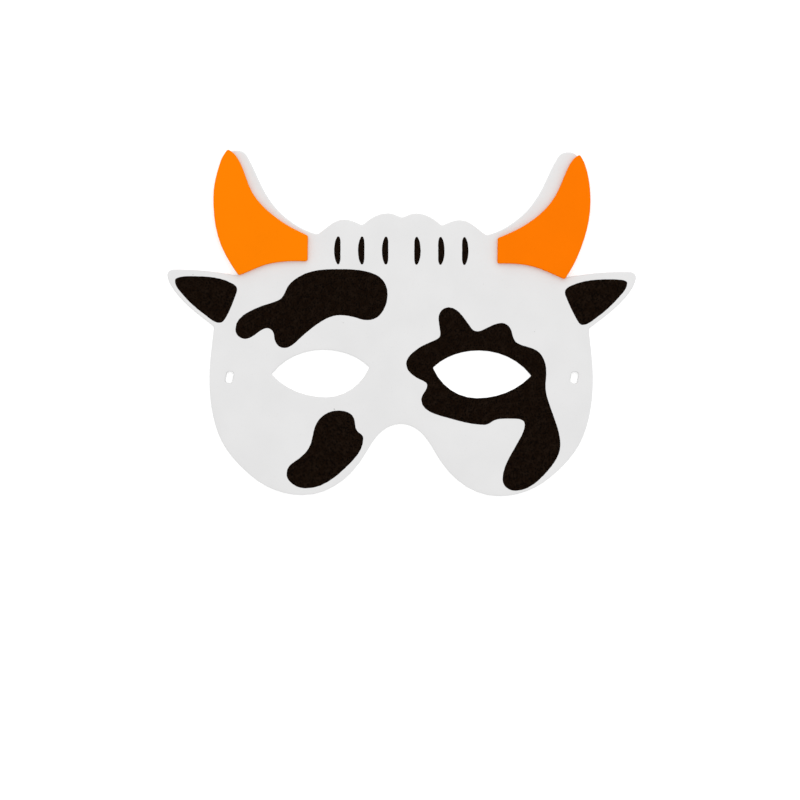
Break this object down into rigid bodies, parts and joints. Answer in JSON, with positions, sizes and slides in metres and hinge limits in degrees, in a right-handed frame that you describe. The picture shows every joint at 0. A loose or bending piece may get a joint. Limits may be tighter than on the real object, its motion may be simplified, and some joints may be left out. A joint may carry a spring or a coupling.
{
  "type": "cow mask",
  "caption": "Flat cow half mask cut from a sheet of foam, with glued-on foam horns, printed patches, ears, almond eye holes, a nose arch and a strap slot at each side.",
  "frame": {"origin": "on the back face, below the middle of the mask's outline, where it lies on a table", "axes": "+X to the right as one looks at the face, +Y up the face towards the horns, +Z out of the face"},
  "size_m": [0.211, 0.155, 0.0042],
  "materials": {
    "white_foam": "matte white closed-cell foam sheet with fine pores and die-cut edges",
    "orange_foam": "matte orange closed-cell foam sheet with die-cut edges",
    "black_ink": "screen-printed black ink, matte, with a fine grain from the foam below"
  },
  "bodies": {
    "root": {"face_sheet": "white_foam", "horn_left": "orange_foam", "horn_right": "orange_foam", "brow_patch": "black_ink", "eye_patch": "black_ink", "cheek_patch": "black_ink", "ear_patch_left": "black_ink", "ear_patch_right": "black_ink", "forelock_mark_1": "black_ink", "forelock_mark_2": "black_ink", "forelock_mark_3": "black_ink", "forelock_mark_4": "black_ink", "forelock_mark_5": "black_ink", "forelock_mark_6": "black_ink"}
  },
  "joints": []
}
